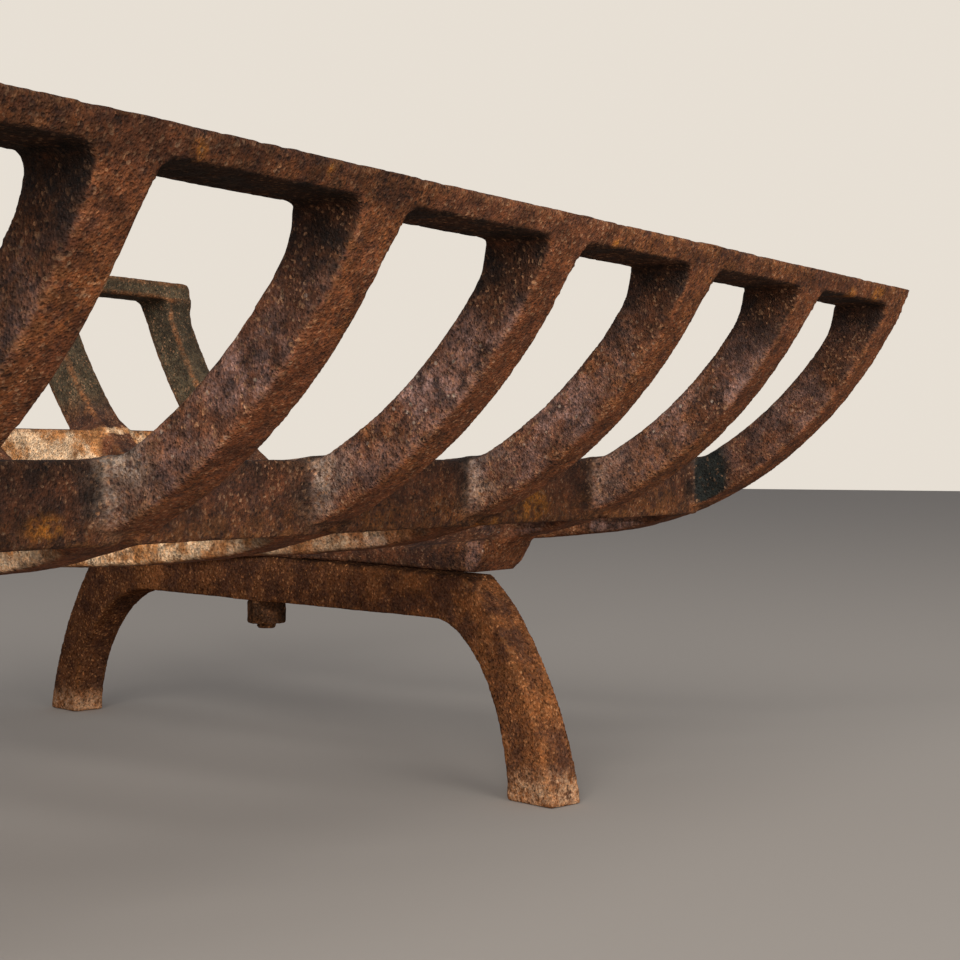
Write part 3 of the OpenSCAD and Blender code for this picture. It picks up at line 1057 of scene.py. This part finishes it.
def layered(n, palette, marks):
    """The two browns, with the layers of rust, painted shade and painted sheen that a material's marks call
    for.
    """
    colours = dict(palette)
    if "ash" in marks:
        colours["streaked"] = n.mix(n.step("blotch", 0.45, 0.58), palette["ash"], palette["tan"])
    colour = n.mix(n.step("blotch", 0.38, 0.62), palette["dark"], palette["brown"])
    for mark, paint, *breaks in LAYERS:
        if mark is None or mark in marks:
            shares = [n.mark(mark)] if mark else []
            shares += [n.step(*given) for given in breaks]
            colour = n.mix(functools.reduce(n.times, shares), colour, colours[paint])
    return colour


def grained(n, colour, kernel_colour, palette, mottle):
    """A colour in grains of about a millimetre, each lighter or darker, and redder or greyer."""
    random, hue, chance = n.split(kernel_colour)
    bright = n.times(n.step(chance, 0.9, 0.93), n.step("blotch", 0.36, 0.6, 0.15, 0.65))
    colour = n.mix(bright, colour, palette["speck"])
    dark = n.times(n.step(chance, 0.16, 0.1), n.step("patch", 0.36, 0.6, 0.25, 0.6))
    colour = n.mix(dark, colour, palette["soot"])
    clumps = n.times(n.step("clumps", 0.24, 0.1), n.step("blotch", 0.44, 0.6))
    colour = n.mix(n.times(clumps, 0.6), colour, palette["speck"])
    shade = n.times(n.step(random, 0.0, 1.0, 0.78, 1.22), n.step("grain", 0.25, 0.75, 0.66, 1.34))
    shade = n.times(shade, n.step("mottle", 0.3, 0.7, 1 - mottle, 1 + mottle))
    return n.shaded(n.shaded(colour, n.mix(hue, REDDER, GREYER)), shade)


def rust(name, palette, marks, mottle, gloss):
    """Pitted rust: patches, flecks and grains over a base of two browns, with the casting's marks, painted
    shade and sheen among them.
    """
    n = Nodes(name)
    kernel, kernel_colour = n.spots(*KERNELS)
    colour = grained(n, layered(n, palette, marks), kernel_colour, palette, mottle)
    # Painted shade over the shaded stretches of the rails and ribs, and the darker stretch of the front base
    # bar
    if "smoke" in marks:
        colour = n.shaded(colour, n.step(n.mark("smoke"), 0.0, 1.0, 1.0, FULLY_SHADED))
    height = n.math("ADD", n.times(n.pattern("grain"), 0.5), n.pattern("fleck"))
    height = n.math("ADD", height, n.times(n.step(kernel, 0.1, 0.6), 0.5))
    return n.finish(colour, n.step("blotch", 0.3, 0.7, 0.7, 0.92), height, gloss)


BASKET_PALETTE = {
    "dark": (0.056, 0.026, 0.018),
    "brown": (0.142, 0.053, 0.025),
    "orange": (0.215, 0.078, 0.025),
    "outer": (0.178, 0.058, 0.022),
    # Purple-grey of the painted sheen, a reflection painted into the colour
    "sheen": (0.41, 0.23, 0.185),
    "stain": (0.03, 0.021, 0.02),
    "olive": (0.088, 0.064, 0.036),
    # Colour of the dust, lighter than dust alone, which paints in the light that falls there
    "ash": (0.92, 0.62, 0.37),
    "tan": (0.56, 0.25, 0.09),
    "bloom": (0.44, 0.33, 0.25),
    "edge": (0.25, 0.11, 0.045),
    # Near-black for soot and painted shade, and for the darkest grains
    "soot": (0.012, 0.008, 0.006),
    "scorch": (0.018, 0.02, 0.017),
    "ember": (0.45, 0.165, 0.025),
    "speck": (0.34, 0.18, 0.095),
}
LEG_PALETTE = {
    "dark": (0.095, 0.042, 0.025),
    "brown": (0.24, 0.092, 0.035),
    "orange": (0.29, 0.108, 0.036),
    "bloom": (0.6, 0.35, 0.2),
    "edge": (0.3, 0.12, 0.04),
    # Near-black for the shade painted on the legs, and for their darkest grains
    "soot": (0.016, 0.009, 0.006),
    "speck": (0.48, 0.21, 0.085),
}
FASTENING_PALETTE = {
    "dark": (0.044, 0.026, 0.017),
    "brown": (0.11, 0.054, 0.03),
    "orange": (0.18, 0.066, 0.02),
    "edge": (0.2, 0.08, 0.03),
    "soot": (0.014, 0.009, 0.006),
    "speck": (0.3, 0.13, 0.055),
}
# The marks that each casting's mesh carries and its rust shows
BASKET_MARKS = ("soot", "bloom", "ash", "sheen", "scorch", "smoke", "ember", "olive", "outer", "wear",
                "line", "hollow")
LEG_MARKS = ("crust", "crown", "soot", "wear", "hollow")


# -------- stage, light and camera

# The floor and the world: the colour that throws light, and the one that the camera sees
FLOOR_COLOUR = (0.34, 0.285, 0.24)
FLOOR_SEEN = (0.46, 0.42, 0.38)
WORLD_COLOUR = (0.30, 0.30, 0.31)
WORLD_SEEN = (0.80, 0.74, 0.66)
FLOOR_SIDE = 12

# Each lamp's place and diameter in metres, its power and its colour; both are turned to the grate's middle
LAMPS = {
    "key": ((-2.2, -1.0, 1.2), 1.8, 62, (1.0, 0.97, 0.93)),
    "front": ((-0.7, -2.3, 0.5), 1.5, 34, (1.0, 0.96, 0.9)),
}
LAMP_TARGET = (0, 0, 0.1)

# The photograph's camera, fitted to the ribs, rails and legs: it looks level, across the front rail
CAMERA_PLACE = Vector((-0.297, -0.423, 0.1159))
CAMERA_YAW = math.radians(55.65)
CAMERA_LENS = 64.35
CAMERA_SENSOR = 36
# How far the horizon lies above the picture's middle, in pixels of the picture's side
HORIZON_RISE = 20
PICTURE_SIDE = 960


def seen_apart(tree, socket, colour, seen):
    """Gives a socket one colour for the light that it throws, and another for what the camera sees."""
    path = tree.nodes.new("ShaderNodeLightPath")
    mix = tree.nodes.new("ShaderNodeMix")
    mix.data_type = "RGBA"
    tree.links.new(path.outputs["Is Camera Ray"], mix.inputs[0])
    mix.inputs[MIX_A].default_value = (*colour, 1)
    mix.inputs[MIX_B].default_value = (*seen, 1)
    tree.links.new(mix.outputs[MIX_RESULT], socket)


def build_floor():
    bpy.ops.mesh.primitive_plane_add(size=FLOOR_SIDE, location=(0, 0, 0))
    floor = bpy.context.object
    floor.name = "floor"
    material = bpy.data.materials.new("floor")
    material.use_nodes = True
    shader = material.node_tree.nodes["Principled BSDF"]
    shader.inputs["Roughness"].default_value = 0.9
    shader.inputs["Specular IOR Level"].default_value = 0.1
    seen_apart(material.node_tree, shader.inputs["Base Color"], FLOOR_COLOUR, FLOOR_SEEN)
    floor.data.materials.append(material)


def build_world():
    world = bpy.data.worlds.new("studio")
    bpy.context.scene.world = world
    world.use_nodes = True
    background = world.node_tree.nodes["Background"]
    seen_apart(world.node_tree, background.inputs["Color"], WORLD_COLOUR, WORLD_SEEN)


def build_lamp(name, place, size, power, colour):
    data = bpy.data.lights.new(name, "AREA")
    data.shape = "DISK"
    data.size = size
    data.energy = power
    data.color = colour
    lamp = bpy.data.objects.new(name, data)
    lamp.location = place
    lamp.rotation_euler = (Vector(LAMP_TARGET) - Vector(place)).to_track_quat("-Z", "Y").to_euler()
    bpy.context.scene.collection.objects.link(lamp)


def build_camera():
    data = bpy.data.cameras.new("camera")
    data.lens = CAMERA_LENS
    data.sensor_width = CAMERA_SENSOR
    data.shift_y = -HORIZON_RISE / PICTURE_SIDE
    data.clip_start = 0.01
    camera = bpy.data.objects.new("camera", data)
    camera.location = CAMERA_PLACE
    looks_along = Vector((math.sin(CAMERA_YAW), math.cos(CAMERA_YAW), 0))
    camera.rotation_euler = looks_along.to_track_quat("-Z", "Y").to_euler()
    bpy.context.scene.collection.objects.link(camera)
    bpy.context.scene.camera = camera


build_camera()
basket_rust = rust("basket_rust", BASKET_PALETTE, BASKET_MARKS, mottle=0.36, gloss=0.2)
leg_rust = rust("leg_rust", LEG_PALETTE, LEG_MARKS, mottle=0.18, gloss=0.0)
fastening_rust = rust("fastening_rust", FASTENING_PALETTE, ("wear",), mottle=0.3, gloss=0.0)
build_basket(basket_rust)
for side, seed in (("left", 31), ("right", 41)):
    build_leg(side, seed, leg_rust)
for side, seed in (("left", 51), ("right", 61)):
    build_bolt(side, seed, fastening_rust)
    build_nut(side, seed + 4, fastening_rust)
build_floor()
build_world()
for name, settings in LAMPS.items():
    build_lamp(name, *settings)

view = bpy.context.scene.view_settings
view.view_transform = "Standard"
